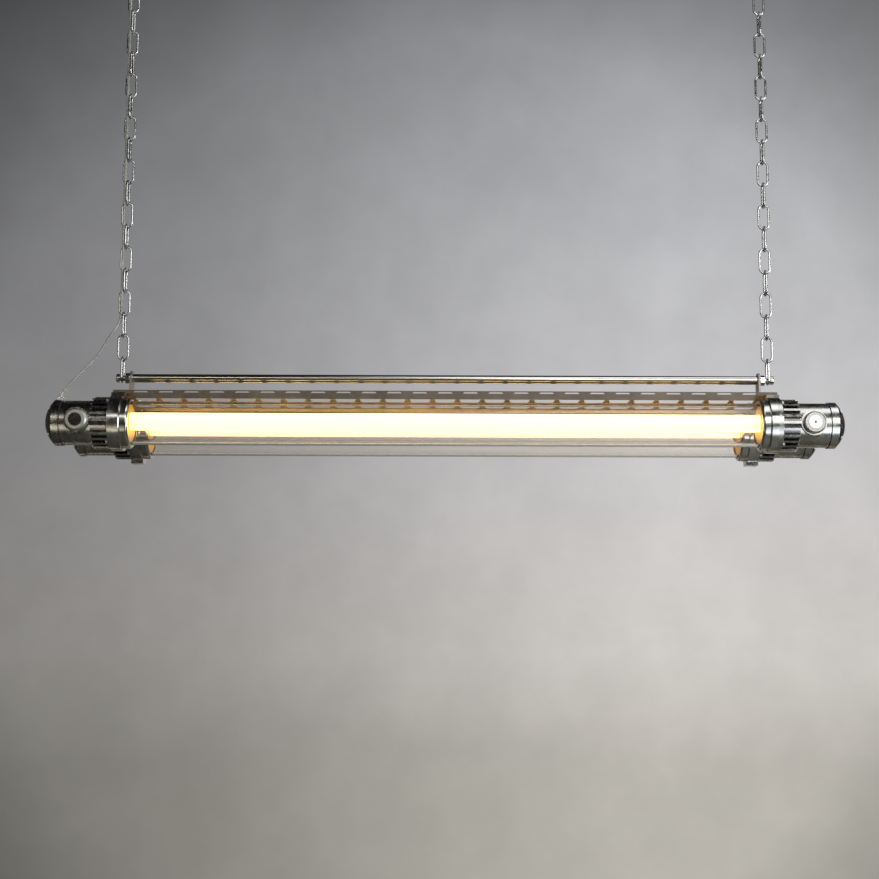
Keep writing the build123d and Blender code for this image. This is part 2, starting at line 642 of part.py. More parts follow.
def flexible(points, radius, label=""):
    """Round flexible line through straight runs and tangent arcs."""
    corners = []
    for before, here, after in zip(points, points[1:], points[2:]):
        run_in = Vector(*here) - Vector(*before)
        run_out = Vector(*after) - Vector(*here)
        half_turn = math.radians(run_in.get_angle(run_out)) / 2
        corners.append(0.45 * min(run_in.length, run_out.length) / math.tan(half_turn))
    path = FilletPolyline(*points, radius=corners)
    start = Plane(origin=points[0], z_dir=Vector(*points[1]) - Vector(*points[0]))
    line = sweep(start * Circle(radius), path=path)
    if label:
        fill = line.volume / (math.pi * radius ** 2 * path.length)
        print(label, "bends", [round(c, 1) for c in corners], "volume share", round(fill, 4))
    return line


def cord_points():
    """Corner points of the cord's bent stretches, lower and top."""
    beside = (-CHAIN_X - CORD_SIDE, -CORD_SIDE)
    gland_top = COVER_R + GLAND_TALL
    seat = Vector(-GLAND_X, -UNIT_SPACING / 2, AXES_Z + gland_top)
    lean = Vector(*BOOT_LEAN).normalized()
    lower = [tuple(seat + lean * BOOT_TALL), tuple(seat + lean * (BOOT_TALL + CORD_FIRST_RUN))]
    lower += [(x, y, AXES_Z + z) for x, y, z in CORD_ROUTE]
    lower += [(*beside, ROD_Z + CORD_MEETS - CORD_LEAD), (*beside, ROD_Z + CORD_MEETS)]
    top_z = -CUP_DEEP - GRIP_TALL
    top = [(*beside, ROD_Z + CORD_LEAVES), (*beside, ROD_Z + CORD_LEAVES + CORD_TOP_LEAD)]
    top += [(GRIP_X, GRIP_Y, top_z - CORD_TOP_LEAD), (GRIP_X, GRIP_Y, top_z)]
    return lower, top


def make_terminal(unit):
    """Terminal block lying in the drum of a housing."""
    half = TERMINAL_WIDTH / 2
    low = -math.sqrt(BODY_BORE_R ** 2 - half ** 2)
    body = block(TERMINAL_X, TERMINAL_X + TERMINAL_LENGTH, -half, half, low, low + TERMINAL_TALL)
    return placed(body, ENDS["left"], unit)


def make_leads():
    """Leads from the terminal block to both left lampholders, the rear pair through the conduit."""
    low = -math.sqrt(BODY_BORE_R ** 2 - (TERMINAL_WIDTH / 2) ** 2)
    middle = low + TERMINAL_TALL / 2
    front = -UNIT_SPACING / 2
    rear = UNIT_SPACING / 2
    turn_x = WEB_TO + LEAD_TURN
    leads = []
    for side in (-1, 1):
        y = front + side * LEAD_Y
        near = [(-TERMINAL_X, y, middle), (-TERMINAL_X + LEAD_TAIL, y, middle), (-turn_x, y, LAMP_RISE)]
        near.append((-WEB_FROM, y, LAMP_RISE))
        x = -PLUG_X + side * LEAD_Y / 2
        y = rear - side * LEAD_Y
        far = [(x, front, low + TERMINAL_TALL), (x, front, low + TERMINAL_TALL + LEAD_RISE)]
        far += [(x, front + CONDUIT_IN, 0.0), (x, rear - CONDUIT_IN, 0.0)]
        far += [(x + LEAD_RISE, y - LEAD_IN, LAMP_RISE / 2), (-turn_x - LEAD_TURN, y, LAMP_RISE)]
        far.append((-WEB_FROM, y, LAMP_RISE))
        leads += [flexible(near, LEAD_R), flexible(far, LEAD_R)]
    return [Pos(0, 0, AXES_Z) * lead for lead in leads]


def make_conduit():
    """Conduit between the left housings."""
    reach = UNIT_SPACING / 2 - CONDUIT_IN
    tube = along_y(-reach, reach, CONDUIT_R) - along_y(-reach, reach, CONDUIT_R - CONDUIT_WALL)
    return Pos(-PLUG_X, 0, AXES_Z) * tube


def make_locknuts():
    """Conduit nuts drawn up against the drums."""
    nuts = []
    for unit in UNITS.values():
        axis_y = unit * UNIT_SPACING / 2
        face = axis_y - unit * (BODY_R + LOCKNUT_THICK)
        hexagon = Rot(90, 0, 0) * extrude(RegularPolygon(LOCKNUT_R, 6), amount=2 * LOCKNUT_THICK, both=True)
        nut = Pos(0, face, 0) * hexagon
        nut &= block(-LOCKNUT_R, LOCKNUT_R, min(face, axis_y), max(face, axis_y), -LOCKNUT_R, LOCKNUT_R)
        nut -= along_x(-LOCKNUT_R, LOCKNUT_R, BODY_R, axis_y)
        nut -= along_y(face - 3 * LOCKNUT_THICK, face + 3 * LOCKNUT_THICK, CONDUIT_R)
        nuts.append(Pos(-PLUG_X, 0, AXES_Z) * nut)
    return nuts


def build():
    """Makes every node and writes it."""
    os.makedirs("parts", exist_ok=True)
    for unit_name, unit in UNITS.items():
        axis = Pos(0, unit * UNIT_SPACING / 2, AXES_Z)
        for end_name, end in ENDS.items():
            name = unit_name + "_" + end_name
            left = end < 0
            save(name + "_housing", placed(make_housing(unit, left), end, unit))
            save(name + "_clamp_ring", placed(make_clamp_ring(unit), end, unit))
            save(name + "_end_cover", placed(make_end_cover(left and unit < 0), end, unit))
        glass = along_x(-GLASS_HALF, GLASS_HALF, GLASS_R) - along_x(-GLASS_HALF, GLASS_HALF, GLASS_BORE_R)
        save(unit_name + "_glass_tube", axis * glass)
        lit = LAMP_HALF - CAP_LENGTH
        tube = along_x(-lit, lit, LAMP_R, 0, LAMP_RISE) - along_x(-lit, lit, LAMP_R - LAMP_WALL, 0, LAMP_RISE)
        save(unit_name + "_lamp_tube", axis * tube)
        ends = [placed(piece, end, unit) for end in ENDS.values() for piece in make_lamp_end()]
        save(unit_name + "_lamp_caps", ends)
        save(unit_name + "_holder_rotors", [placed(make_rotor(), end, unit) for end in ENDS.values()])
    save("blanking_plugs", [placed(make_plug(u), e, u) for u in UNITS.values() for e in ENDS.values()])
    seal = along_x(SEAL_FROM, SEAL_TO, SEAL_R) - along_x(SEAL_FROM, SEAL_TO, GLASS_R)
    save("glass_seals", everywhere(seal))
    save("cover_gaskets", everywhere(make_cover_gasket()))
    save("lamp_collars", everywhere(make_collar()))
    save("lampholders", everywhere(make_holder()))
    save("flange_bolts", [p for bolt in make_flange_bolts() for p in everywhere(bolt)])
    save("cover_screws", [p for screw in make_cover_screws() for p in everywhere(screw)])
    save("carrier_tray", make_tray())
    save("tray_screws", make_tray_screws())
    save("post_bolts", make_post_bolts())
    save("left_post", make_post(-1))
    save("right_post", make_post(1))
    spreader = along_x(-POST_X, POST_X, SPREADER_R) - along_x(-POST_X, POST_X, ROD_R + ROD_FIT)
    save("spreader_tube", Pos(0, 0, ROD_Z) * spreader)
    rod_half = END_CAP_FROM + ROD_IN_CAP
    save("tie_rod", Pos(0, 0, ROD_Z) * along_x(-rod_half, rod_half, ROD_R))
    washer_to = POST_OUT + WASHER_THICK
    washer = along_x(POST_OUT, washer_to, WASHER_R) - along_x(POST_OUT, washer_to, ROD_R)
    save("rod_washers", both_ends(washer))
    save("rod_nuts", both_ends(make_rod_nut()))
    save("rod_end_caps", both_ends(make_end_cap()))
    link = make_link()
    for end_name, end in ENDS.items():
        save(end_name + "_bottom_links", make_chain(link, end, 0, BOTTOM_LINKS - 1))
        save(end_name + "_chain_links", make_chain(link, end, BOTTOM_LINKS, LINK_COUNT - 2))
        save(end_name + "_top_link", make_chain(link, end, LINK_COUNT - 1, LINK_COUNT - 1))
        save(end_name + "_ceiling_cup", make_cup(end))
        save(end_name + "_ceiling_eye", make_eye(end))
    save("eye_nuts", [make_eye_nut(end) for end in ENDS.values()])
    save("cord_gland", make_gland())
    save("cord_grip", make_grip())
    lower, top = cord_points()
    beside = (-CHAIN_X - CORD_SIDE, -CORD_SIDE)
    save("cord_lower", flexible(lower, CORD_R, "lower cord"))
    save("cord_chain", along_z(ROD_Z + CORD_MEETS, ROD_Z + CORD_MIDDLE, CORD_R, *beside))
    save("cord_upper", along_z(ROD_Z + CORD_MIDDLE, ROD_Z + CORD_LEAVES, CORD_R, *beside))
    save("cord_top", flexible(top, CORD_R, "top cord"))
    save("terminal_block", make_terminal(UNITS["front"]))
    save("internal_leads", make_leads())
    save("wiring_conduit", make_conduit())
    save("conduit_locknuts", make_locknuts())
    cup_block_z = -CUP_DEEP + CUP_WALL
    cup_block_x = -CHAIN_X + CUP_BLOCK_IN
    half = TERMINAL_WIDTH / 2
    cup_block_to = cup_block_x + TERMINAL_WIDTH
    cup_block = block(cup_block_x, cup_block_to, -half, half, cup_block_z, cup_block_z + TERMINAL_TALL)
    save("cup_terminal_block", cup_block)


build()
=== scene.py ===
"""Dresses the linear pendant light: castings, glass, lit lamps, carrier, chains and the clear cord."""
import logging
import math
from dataclasses import dataclass
from enum import Enum
from typing import Dict, List, Sequence, Tuple

import bpy
from mathutils import Matrix, Vector

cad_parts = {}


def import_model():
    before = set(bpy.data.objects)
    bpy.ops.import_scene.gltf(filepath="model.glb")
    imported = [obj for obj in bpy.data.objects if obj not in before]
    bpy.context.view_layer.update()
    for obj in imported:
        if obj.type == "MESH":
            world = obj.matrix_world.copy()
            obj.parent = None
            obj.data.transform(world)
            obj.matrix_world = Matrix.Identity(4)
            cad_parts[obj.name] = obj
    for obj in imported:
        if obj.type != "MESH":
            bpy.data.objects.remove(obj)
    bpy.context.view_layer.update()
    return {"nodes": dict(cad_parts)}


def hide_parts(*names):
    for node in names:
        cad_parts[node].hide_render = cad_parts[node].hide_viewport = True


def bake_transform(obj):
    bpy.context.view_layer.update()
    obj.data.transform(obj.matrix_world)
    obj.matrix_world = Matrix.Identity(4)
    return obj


LOG = logging.getLogger("pendant")
Colour = Tuple[float, float, float]
Point = Tuple[float, float, float]
Socket = bpy.types.NodeSocket
WHITE: Colour = (1.0, 1.0, 1.0)
ORIGIN: Point = (0.0, 0.0, 0.0)
AXIS_Y = 0.090
AXIS_DROP = 0.9574
TRAY_DROP = 0.9115
TRAY_LIP_THICK = 0.0026
FIN_END_X = 0.638
FIN_ROOT_R = 0.0455
PLUG_X = 0.661
PLUG_DISC_R = 0.0122


class Sheath(Enum):
    """How much light a plastic lets through."""

    SOLID = 0.0
    MILKY = 0.35
    CLEAR = 0.75


class Board:
    """A material's node tree with short calls to add and join nodes."""

    def __init__(self, name: str) -> None:
        """Starts an empty tree with an output.

        Args:
            name: the material's name.
        """
        self.material = bpy.data.materials.new(name)
        self.material.use_nodes = True
        self.tree = self.material.node_tree
        self.tree.nodes.clear()
        self.output = self.add("ShaderNodeOutputMaterial")

    def add(self, kind: str, **values: object) -> bpy.types.Node:
        """Adds a node and sets its properties or inputs by name.

        Args:
            kind: the node's type.
            values: property names, or input names with underscores for spaces.

        Returns:
            The new node.
        """
        node = self.tree.nodes.new(kind)
        for key, value in values.items():
            if hasattr(node, key):
                setattr(node, key, value)
            else:
                node.inputs[key.replace("_", " ")].default_value = value
        return node

    def join(self, start: Socket, end: Socket) -> None:
        """Links two sockets."""
        self.tree.links.new(start, end)

    def place(self, stretch: Sequence[float]) -> Socket:
        """Object coordinates, stretched for a grain that runs one way.

        Args:
            stretch: scale along X, Y and Z.

        Returns:
            The vector socket.
        """
        where = self.add("ShaderNodeTexCoord")
        mapping = self.add("ShaderNodeMapping")
        mapping.inputs["Scale"].default_value = stretch
        self.join(where.outputs["Object"], mapping.inputs["Vector"])
        return mapping.outputs["Vector"]

    def noise(self, vector: Socket, scale: float, detail: float = 4.0) -> Socket:
        """A noise pattern.

        Args:
            vector: where it is read.
            scale: how fine it is.
            detail: how many finer layers it has.

        Returns:
            The value socket.
        """
        node = self.add("ShaderNodeTexNoise", Scale=scale, Detail=detail, Roughness=0.6)
        self.join(vector, node.inputs["Vector"])
        return node.outputs["Fac"]

    def ramp(self, value: Socket, stops: Sequence[Tuple[float, Colour]]) -> Socket:
        """Colours along a value.

        Args:
            value: what is coloured.
            stops: positions with their colours.

        Returns:
            The colour socket.
        """
        node = self.add("ShaderNodeValToRGB")
        while len(node.color_ramp.elements) < len(stops):
            node.color_ramp.elements.new(0.5)
        for element, (position, colour) in zip(node.color_ramp.elements, stops):
            element.position = position
            element.color = (*colour, 1.0)
        self.join(value, node.inputs["Fac"])
        return node.outputs["Color"]

    def span(self, value: Socket, low: float, high: float) -> Socket:
        """A pattern's middle range spread between two numbers.

        Args:
            value: the pattern.
            low: result at its dark end.
            high: result at its bright end.

        Returns:
            The value socket.
        """
        return self.between(value, (0.3, 0.7), (low, high))

    def between(self, value: Socket, given: Tuple[float, float], wanted: Tuple[float, float]) -> Socket:
        """Carries one range over to another, held at both ends.

        Args:
            value: the value.
            given: the range it is read over.
            wanted: the results at that range's ends.

        Returns:
            The value socket.
        """
        node = self.add("ShaderNodeMapRange")
        for socket, number in zip(node.inputs[1:5], (*given, *wanted)):
            socket.default_value = number
        self.join(value, node.inputs[0])
        return node.outputs[0]

    def bump(self, value: Socket, strength: float, height: float) -> Socket:
        """Fine relief.

        Args:
            value: the relief's pattern.
            strength: how much it shows.
            height: its depth in metres.

        Returns:
            The normal socket.
        """
        node = self.add("ShaderNodeBump", Strength=strength, Distance=height)
        self.join(value, node.inputs["Height"])
        return node.outputs["Normal"]

    def distance(self, vector: Socket, centre: Point, axes: Point) -> Socket:
        """How far a place is from a point, counted along some of the axes only.

        Args:
            vector: the place.
            centre: the point.
            axes: one for each axis that counts, zero for the others.

        Returns:
            The value socket.
        """
        offset = self.add("ShaderNodeVectorMath", operation="SUBTRACT")
        self.join(vector, offset.inputs[0])
        offset.inputs[1].default_value = centre
        flat = self.add("ShaderNodeVectorMath", operation="MULTIPLY")
        self.join(offset.outputs[0], flat.inputs[0])
        flat.inputs[1].default_value = axes
        away = self.add("ShaderNodeVectorMath", operation="LENGTH")
        self.join(flat.outputs[0], away.inputs[0])
        return away.outputs["Value"]

    def multiply(self, first: Socket, second: Socket) -> Socket:
        """One value times another."""
        node = self.add("ShaderNodeMath", operation="MULTIPLY")
        self.join(first, node.inputs[0])
        self.join(second, node.inputs[1])
        return node.outputs[0]

    def larger(self, first: Socket, second: Socket) -> Socket:
        """The larger of two values."""
        node = self.add("ShaderNodeMath", operation="MAXIMUM")
        self.join(first, node.inputs[0])
        self.join(second, node.inputs[1])
        return node.outputs[0]

    def shade(self, colour: Socket, tone: Socket) -> Socket:
        """A colour times a tone."""
        node = self.add("ShaderNodeVectorMath", operation="MULTIPLY")
        self.join(colour, node.inputs[0])
        self.join(tone, node.inputs[1])
        return node.outputs[0]

    def blend(self, share: Socket, first: Socket, second: Socket) -> None:
        """Gives the surface a mix of two shaders.

        Args:
            share: zero for the first, one for the second.
            first: a shader.
            second: the other shader.
        """
        mix = self.add("ShaderNodeMixShader")
        self.join(share, mix.inputs[0])
        self.join(first, mix.inputs[1])
        self.join(second, mix.inputs[2])
        self.join(mix.outputs[0], self.output.inputs["Surface"])


@dataclass(frozen=True)
class Zone:
    """A region near a point, a line or a plane, alike at both ends and on both units."""

    centre: Point
    axes: Point
    radius: float
    soft: float = 0.0005

    def mask(self, board: Board) -> Socket:
        """Marks the region.

        Args:
            board: the material being made.

        Returns:
            A value socket, one inside and zero outside.
        """
        where = board.add("ShaderNodeTexCoord")
        mirrored = board.add("ShaderNodeVectorMath", operation="ABSOLUTE")
        board.join(where.outputs["Object"], mirrored.inputs[0])
        away = board.distance(mirrored.outputs[0], self.centre, self.axes)
        return board.between(away, (self.radius - self.soft, self.radius), (1.0, 0.0))


@dataclass(frozen=True)
class Patch:
    """A part of a piece, where all its zones meet, with its own tint and gloss; used for painted shade and
    painted light as well as for a finish of its own.
    """

    zones: Tuple[Zone, ...]
    tint: Colour
    gloss: float = 1.0

    def lay(self, board: Board, colour: Socket, rough: Socket) -> Tuple[Socket, Socket]:
        """Changes the colour and the roughness inside the patch.

        Args:
            board: the material being made.
            colour: the colour so far.
            rough: the roughness so far.

        Returns:
            The new colour and roughness sockets.
        """
        mask = self.zones[0].mask(board)
        for zone in self.zones[1:]:
            mask = board.multiply(mask, zone.mask(board))
        tone = board.ramp(mask, [(0.0, WHITE), (1.0, self.tint)])
        shine = board.between(mask, (0.0, 1.0), (1.0, self.gloss))
        return board.shade(colour, tone), board.multiply(rough, shine)


@dataclass(frozen=True)
class MetalFinish:
    """A metal with tarnish, fine relief and uneven gloss, and patches that can hold painted shade."""

    name: str
    dark: Colour
    light: Colour
    gloss: Tuple[float, float] = (0.2, 0.35)
    grain: float = 60.0
    stretch: Point = (1.0, 1.0, 1.0)
    relief: float = 0.15
    depth: float = 0.0004
    metallic: float = 1.0
    stain: float = 9.0
    patches: Tuple[Patch, ...] = ()

    def make(self) -> bpy.types.Material:
        """Builds the material.

        Returns:
            The finished material.
        """
        board = Board(self.name)
        where = board.place(self.stretch)
        broad = board.noise(where, self.stain, 3.0)
        fine = board.noise(where, self.grain, 6.0)
        mixed = board.add("ShaderNodeMath", operation="MULTIPLY_ADD")
        board.join(fine, mixed.inputs[0])
        mixed.inputs[1].default_value = 0.45
        board.join(broad, mixed.inputs[2])
        colour = board.ramp(mixed.outputs[0], [(0.5, self.dark), (0.95, self.light)])
        rough = board.span(fine, self.gloss[0], self.gloss[1])
        for patch in self.patches:
            colour, rough = patch.lay(board, colour, rough)
        skin = board.add("ShaderNodeBsdfPrincipled", Metallic=self.metallic)
        board.join(colour, skin.inputs["Base Color"])
        board.join(rough, skin.inputs["Roughness"])
        board.join(board.bump(fine, self.relief, self.depth), skin.inputs["Normal"])
        board.join(skin.outputs[0], board.output.inputs["Surface"])
        return board.material


@dataclass(frozen=True)
class PlasticFinish:
    """A plastic or rubber, solid or letting light through."""

    name: str
    dark: Colour
    light: Colour
    gloss: Tuple[float, float] = (0.3, 0.45)
    sheath: Sheath = Sheath.SOLID
    grain: float = 220.0

    def make(self) -> bpy.types.Material:
        """Builds the material.

        Returns:
            The finished material.
        """
        board = Board(self.name)
        fine = board.noise(board.place((1.0, 1.0, 1.0)), self.grain, 3.0)
        skin = board.add("ShaderNodeBsdfPrincipled")
        skin.inputs["Transmission Weight"].default_value = self.sheath.value
        board.join(board.ramp(fine, [(0.3, self.dark), (0.7, self.light)]), skin.inputs["Base Color"])
        board.join(board.span(fine, self.gloss[0], self.gloss[1]), skin.inputs["Roughness"])
        board.join(board.bump(fine, 0.08, 0.0002), skin.inputs["Normal"])
        board.join(skin.outputs[0], board.output.inputs["Surface"])
        return board.material


@dataclass(frozen=True)
class GlassFinish:
    """Clear tube glass that lets the lamps light what is round it."""

    name: str
    tint: Colour
    shadow: Colour
    roughness: float
    index: float = 1.46

    def make(self) -> bpy.types.Material:
        """Builds the material.

        Returns:
            The finished material.
        """
        board = Board(self.name)
        film = board.noise(board.place((1.0, 3.0, 3.0)), 7.0, 3.0)
        skin = board.add("ShaderNodeBsdfPrincipled", IOR=self.index)
        skin.inputs["Base Color"].default_value = (*self.tint, 1.0)
        skin.inputs["Transmission Weight"].default_value = 1.0
        board.join(board.span(film, self.roughness, 2.5 * self.roughness), skin.inputs["Roughness"])
        clear = board.add("ShaderNodeBsdfTransparent")
        clear.inputs["Color"].default_value = (*self.shadow, 1.0)
        rays = board.add("ShaderNodeLightPath").outputs
        lighting = board.larger(rays["Is Shadow Ray"], rays["Is Diffuse Ray"])
        board.blend(lighting, skin.outputs[0], clear.outputs[0])
        return board.material


@dataclass(frozen=True)
class LitFinish:
    """Warm phosphor glass of a lamp that is on, a little dimmer at its ends."""

    name: str
    glow: Colour
    strength: float
    half_length: float
    end_length: float = 0.045
    end_share: float = 0.75
    unlit: Colour = (0.2, 0.19, 0.17)

    def make(self) -> bpy.types.Material:
        """Builds the material.

        Returns:
            The finished material.
        """
        board = Board(self.name)
        where = board.add("ShaderNodeTexCoord")
        axes = board.add("ShaderNodeSeparateXYZ")
        board.join(where.outputs["Object"], axes.inputs[0])
        away = board.add("ShaderNodeMath", operation="ABSOLUTE")
        board.join(axes.outputs["X"], away.inputs[0])
        stretch = (self.half_length - self.end_length, self.half_length)
        fade = board.between(away.outputs[0], stretch, (self.strength, self.end_share * self.strength))
        skin = board.add("ShaderNodeBsdfPrincipled", Roughness=0.4)
        skin.inputs["Base Color"].default_value = (*self.unlit, 1.0)
        skin.inputs["Emission Color"].default_value = (*self.glow, 1.0)
        board.join(fade, skin.inputs["Emission Strength"])
        board.join(skin.outputs[0], board.output.inputs["Surface"])
        return board.material


@dataclass(frozen=True)
class PaperFinish:
    """Grey paper all round, glowing to the camera with painted light: painted falloff darker to the left and
    the top, a painted tint warm low down and cool high up, and painted shade in the corners and in soft
    creases; only its far part shows in reflections.
    """

    name: str
    across: Tuple[Tuple[float, float], ...]
    upward: Tuple[Tuple[float, float], ...]
    painted_tint: Tuple[Tuple[float, Colour], ...]
    half_width: float
    foot: float
    head: float
    middle: float
    corner: Tuple[float, float, float]
    painted_corner_shade: float
    mirrored_from: float
    crease_scale: float = 2.2
    painted_crease_shade: float = 0.92

    def corners(self, board: Board) -> Socket:
        """Paints shade on the paper far from the middle, as in the corners.

        Args:
            board: the material being made.

        Returns:
            The tone's colour socket.
        """
        where = board.add("ShaderNodeTexCoord")
        away = board.distance(where.outputs["Object"], (0.0, 0.0, self.middle), (1.0, 0.0, 1.0))
        near, dark, far = self.corner
        share = board.between(away, (near, far), (0.0, 1.0))
        dim = (self.painted_corner_shade, self.painted_corner_shade, self.painted_corner_shade)
        return board.ramp(share, [(0.0, WHITE), ((dark - near) / (far - near), dim), (1.0, WHITE)])

    def make(self) -> bpy.types.Material:
        """Builds the material.

        Returns:
            The finished material.
        """
        board = Board(self.name)
        where = board.add("ShaderNodeTexCoord")
        axes = board.add("ShaderNodeSeparateXYZ")
        board.join(where.outputs["Object"], axes.inputs[0])
        # Painted light: falloff across and up the paper, a tint warm low down and cool high up, shade in the
        # corners and in soft creases, all multiplied into the paper's grey.
        sideways = board.between(axes.outputs["X"], (-self.half_width, self.half_width), (0.0, 1.0))
        height = board.between(axes.outputs["Z"], (self.foot, self.head), (0.0, 1.0))
        creases = board.noise(board.place((1.0, 1.0, 1.0)), self.crease_scale, 5.0)
        crease_shade = (self.painted_crease_shade, self.painted_crease_shade, self.painted_crease_shade)
        shade = board.ramp(sideways, [(place, (tone, tone, tone)) for place, tone in self.across])
        for tones in (
            board.ramp(height, [(place, (tone, tone, tone)) for place, tone in self.upward]),
            board.ramp(height, self.painted_tint),
            self.corners(board),
            board.ramp(creases, [(0.35, crease_shade), (0.65, WHITE)]),
        ):
            shade = board.shade(shade, tones)
        # The paper glows with this painted light to the camera, through glass and in far reflections.
        glow = board.add("ShaderNodeEmission", Strength=1.0)
        board.join(shade, glow.inputs["Color"])
        matt = board.add("ShaderNodeBsdfDiffuse")
        board.join(shade, matt.inputs["Color"])
        rays = board.add("ShaderNodeLightPath").outputs
        behind = board.add("ShaderNodeMath", operation="GREATER_THAN")
        behind.inputs[1].default_value = self.mirrored_from
        board.join(axes.outputs["Y"], behind.inputs[0])
        mirrored = board.multiply(behind.outputs[0], rays["Is Glossy Ray"])
        seen = board.larger(rays["Is Camera Ray"], mirrored)
        through = board.larger(seen, rays["Is Transmission Ray"])
        board.blend(through, matt.outputs[0], glow.outputs[0])
        return board.material


def coat(node: bpy.types.Object, material: bpy.types.Material) -> None:
    """Gives an object one material all over.

    Args:
        node: the object.
        material: its finish.
    """
    node.data.materials.clear()
    node.data.materials.append(material)
    LOG.info("coated %s with %s", node.name, material.name)


# Painted shade: the tops of the rings and housings just beneath the tray are darkened in their colour.
PAINTED_SHADE_UNDER_TRAY = Patch((Zone(ORIGIN, (0.0, 0.0, 1.0), TRAY_DROP, 0.003),), (0.2, 0.2, 0.2))
# Painted shade: the casting close to the body, between the fins, is darkened in its colour where the deep gaps
# are shaded.
PAINTED_SHADE_IN_FIN_GAPS = Patch(
    (
        Zone((0.0, AXIS_Y, AXIS_DROP), (0.0, 1.0, 1.0), FIN_ROOT_R, 0.002),
        Zone(ORIGIN, (1.0, 0.0, 0.0), FIN_END_X),
    ),
    (0.3, 0.3, 0.3),
)
PLUG_FACE = Patch((Zone((PLUG_X, 0.0, AXIS_DROP), (1.0, 0.0, 1.0), PLUG_DISC_R),), (0.85, 0.85, 0.85), 0.35)
# The lips keep the tray steel's own dark warm grey, without the painted lamp glow of the rest.
TRAY_LIPS_WITHOUT_PAINTED_GLOW = Patch((Zone((0.0, AXIS_Y, 0.0), (0.0, 1.0, 0.0), TRAY_LIP_THICK),), (0.43, 0.52, 0.85))


@dataclass
class CastEnds:
    """Housings, clamp rings, end covers and plugs, with the small fixings between them."""

    # Tarnish is the casting's own; its patches are painted shade under the tray and between the fins.
    casting: MetalFinish = MetalFinish(
        "aged_casting_painted_shade", (0.3, 0.29, 0.27), (0.66, 0.65, 0.62), (0.18, 0.34), 95.0, relief=0.25,
        patches=(PAINTED_SHADE_UNDER_TRAY, PAINTED_SHADE_IN_FIN_GAPS),
    )
    # The ring's patch is painted shade just beneath the tray.
    ring: MetalFinish = MetalFinish(
        "polished_ring", (0.4, 0.385, 0.36), (0.7, 0.68, 0.64), (0.16, 0.28), 60.0, patches=(PAINTED_SHADE_UNDER_TRAY,)
    )
    plug: MetalFinish = MetalFinish(
        "turned_plug", (0.4, 0.39, 0.37), (0.62, 0.61, 0.58), (0.34, 0.5), 120.0, relief=0.3,
        patches=(PLUG_FACE,),
    )
    fixing: MetalFinish = MetalFinish(
        "zinc_fixing", (0.4, 0.4, 0.38), (0.66, 0.66, 0.63), (0.25, 0.4), 200.0
    )
    rubber: PlasticFinish = PlasticFinish(
        "seal_rubber", (0.02, 0.02, 0.02), (0.05, 0.05, 0.05), (0.55, 0.75)
    )
    fixings: Tuple[str, ...] = (
        "flange_bolts", "cover_screws", "tray_screws", "post_bolts", "wiring_conduit", "conduit_locknuts"
    )

    def dress(self, nodes: Dict[str, bpy.types.Object]) -> None:
        """Coats every casting and fixing.

        Args:
            nodes: the frame's objects by name.
        """
        casting, ring = self.casting.make(), self.ring.make()
        for unit in ("front", "rear"):
            for end in ("left", "right"):
                coat(nodes[f"{unit}_{end}_housing"], casting)
                coat(nodes[f"{unit}_{end}_end_cover"], casting)
                coat(nodes[f"{unit}_{end}_clamp_ring"], ring)
        coat(nodes["blanking_plugs"], self.plug.make())
        fixing, rubber = self.fixing.make(), self.rubber.make()
        for name in self.fixings:
            coat(nodes[name], fixing)
        for name in ("glass_seals", "cover_gaskets"):
            coat(nodes[name], rubber)


@dataclass
class Glazing:
    """Glass tubes, lit lamps and what holds the lamps."""

    lit: LitFinish = LitFinish("lit_lamp", (1.0, 0.66, 0.205), 4.2, 0.582)
    glass: GlassFinish = GlassFinish("clear_glass", (1.0, 0.985, 0.968), (0.93, 0.93, 0.92), 0.004)
    cap: MetalFinish = MetalFinish("lamp_cap", (0.5, 0.49, 0.46), (0.76, 0.75, 0.72), (0.25, 0.4), 150.0)
    # Painted light: the collar's deep amber colour stands in for the warm lamp light falling on it.
    collar: MetalFinish = MetalFinish(
        "spun_collar", (0.62, 0.36, 0.06), (0.8, 0.5, 0.1), (0.3, 0.45), 80.0, metallic=0.3
    )
    holder: PlasticFinish = PlasticFinish("holder_plastic", (0.74, 0.72, 0.67), (0.86, 0.84, 0.79))
    lead: PlasticFinish = PlasticFinish("lead_cover", (0.42, 0.1, 0.06), (0.55, 0.16, 0.1))

    def dress(self, nodes: Dict[str, bpy.types.Object]) -> None:
        """Coats the glass, the lamps and their holders.

        Args:
            nodes: the frame's objects by name.
        """
        glass, cap, holder = self.glass.make(), self.cap.make(), self.holder.make()
        lit = self.lit.make()
        for unit in ("front", "rear"):
            coat(nodes[f"{unit}_glass_tube"], glass)
            coat(nodes[f"{unit}_lamp_tube"], lit)
            coat(nodes[f"{unit}_lamp_caps"], cap)
            coat(nodes[f"{unit}_holder_rotors"], holder)
        coat(nodes["lamp_collars"], self.collar.make())
        for name in ("lampholders", "terminal_block", "cup_terminal_block"):
            coat(nodes[name], holder)
        coat(nodes["internal_leads"], self.lead.make())


